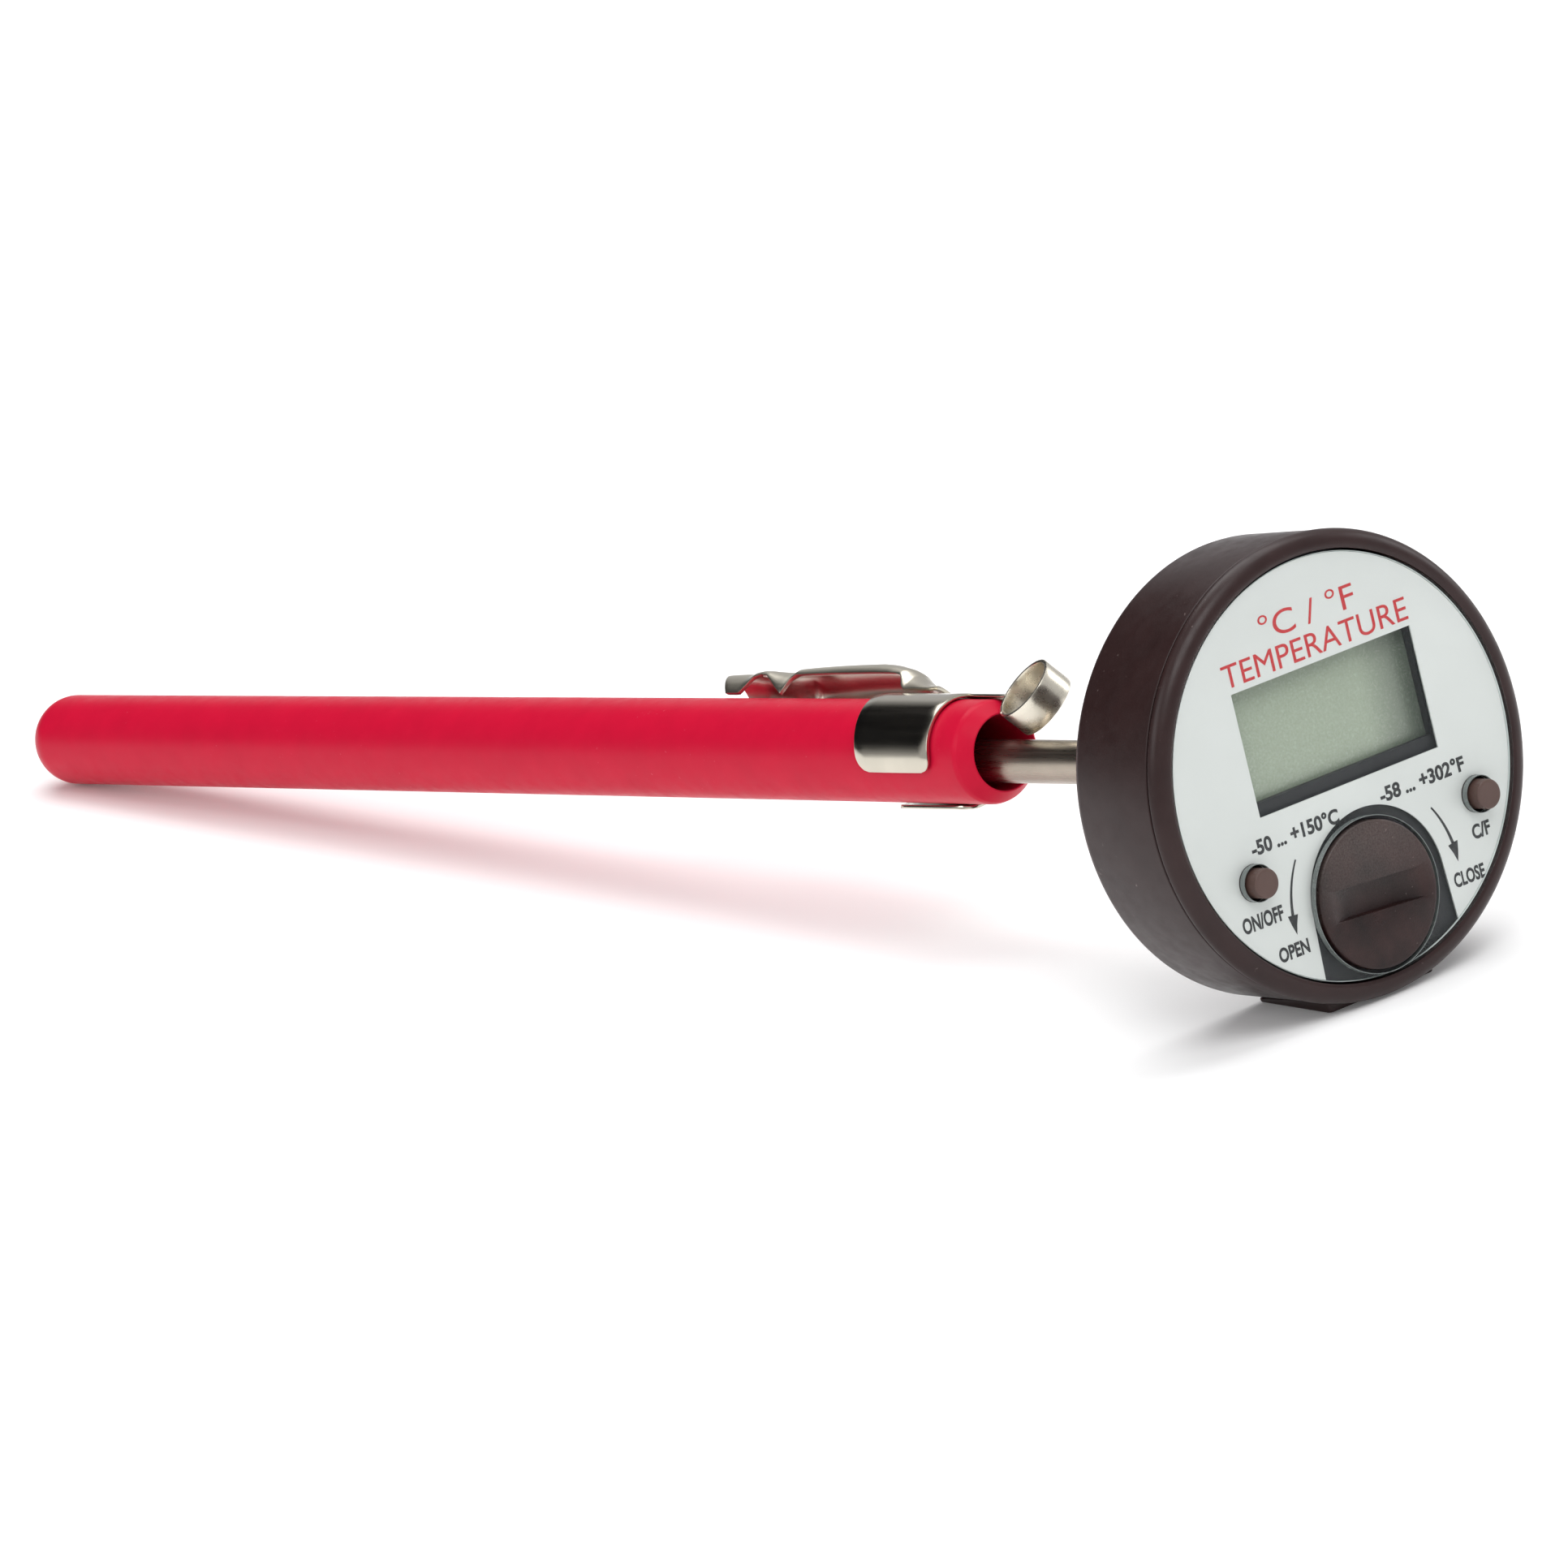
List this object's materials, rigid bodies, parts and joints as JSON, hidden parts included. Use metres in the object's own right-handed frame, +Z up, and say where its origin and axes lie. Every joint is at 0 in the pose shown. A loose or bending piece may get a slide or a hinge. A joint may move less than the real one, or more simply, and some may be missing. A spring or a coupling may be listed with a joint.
{
  "type": "stem thermometer",
  "caption": "Pocket digital stem thermometer: round head with a display, push buttons and a coin-slot battery cap, a steel stem, and a plastic sheath with a spring pocket clip and ring.",
  "frame": {"origin": "centre of the lens's front face, on the stem's axis", "axes": "+X out of the dial along the stem's axis, +Y to the dial's right as it is read, +Z up the dial"},
  "size_m": [0.2059, 0.042, 0.042],
  "materials": {
    "rear_housing": "satin",
    "front_bezel": "satin",
    "face_lens": "clear polished",
    "dial_label": "silvered, satin",
    "inner_frame": "matte",
    "lcd_frame": "matte",
    "lcd_glass": "grey-green, polished",
    "zebra_strip": "matte",
    "circuit_board": "solder mask",
    "chip_blob": "glossy epoxy",
    "capacitor": "sleeved",
    "resistor": "lacquered",
    "onoff_dome": "bright",
    "unit_dome": "bright",
    "onoff_button": "matte",
    "unit_button": "matte",
    "battery_cap": "mottled matte",
    "battery_cap_seal": "matte",
    "battery_cell": "bright",
    "battery_contact_negative": "bright",
    "battery_contact_positive": "bright",
    "probe_tube": "fine brushed",
    "stem_collar": "machined",
    "thermistor_bead": "epoxy bead",
    "thermistor_lead": "insulation",
    "potting_plug": "cured resin",
    "sheath": "satin",
    "pocket_clip": "nickel plated, polished",
    "clip_tongue": "nickel plated, polished",
    "board_screw_1": "zinc plated",
    "board_screw_2": "zinc plated",
    "board_screw_3": "zinc plated"
  },
  "bodies": {
    "head": {"rear_housing": "rear_housing", "front_bezel": "front_bezel", "face_lens": "face_lens", "dial_label": "dial_label", "inner_frame": "inner_frame", "lcd_frame": "lcd_frame", "lcd_glass": "lcd_glass", "zebra_strip": "zebra_strip", "circuit_board": "circuit_board", "chip_blob": "chip_blob", "capacitor": "capacitor", "resistor": "resistor", "onoff_dome": "onoff_dome", "unit_dome": "unit_dome", "battery_cell": "battery_cell", "battery_contact_negative": "battery_contact_negative", "battery_contact_positive": "battery_contact_positive", "probe_tube": "probe_tube", "stem_collar": "stem_collar", "thermistor_bead": "thermistor_bead", "thermistor_lead": "thermistor_lead", "potting_plug": "potting_plug", "board_screw_1": "board_screw_1", "board_screw_2": "board_screw_2", "board_screw_3": "board_screw_3"},
    "onoff_button": {"onoff_button": "onoff_button"},
    "unit_button": {"unit_button": "unit_button"},
    "cap_seal": {"battery_cap_seal": "battery_cap_seal"},
    "battery_cap": {"battery_cap": "battery_cap"},
    "sheath": {"sheath": "sheath", "pocket_clip": "pocket_clip"},
    "clip_tongue": {"clip_tongue": "clip_tongue"}
  },
  "joints": [
    {"name": "sheath_slide", "type": "slide", "parent": "head", "child": "sheath", "axis": [-1, 0, 0], "range_m": [-0.029, 0.125]},
    {"name": "clip_flex", "type": "hinge", "parent": "sheath", "child": "clip_tongue", "pos_m": [-0.0614, 0.00421, 0.0044], "axis": [0, 0.6428, -0.766], "range_deg": [0, 8], "stiffness_Nm_per_rad": 0.9},
    {"name": "cap_lift", "type": "slide", "parent": "head", "child": "cap_seal", "axis": [1, 0, 0], "range_m": [0, 0.003]},
    {"name": "cap_turn", "type": "hinge", "parent": "cap_seal", "child": "battery_cap", "pos_m": [0, 0, -0.01185], "axis": [1, 0, 0], "range_deg": [0, 1080]},
    {"name": "onoff_press", "type": "slide", "parent": "head", "child": "onoff_button", "axis": [-1, 0, 0], "range_m": [0, 0.0005], "stiffness_N_per_m": 1000},
    {"name": "unit_press", "type": "slide", "parent": "head", "child": "unit_button", "axis": [-1, 0, 0], "range_m": [0, 0.0005], "stiffness_N_per_m": 1000}
  ],
  "couplings": [
    {"joint": "cap_turn", "follows": "cap_lift", "rad_per_m": 6283.2}
  ]
}
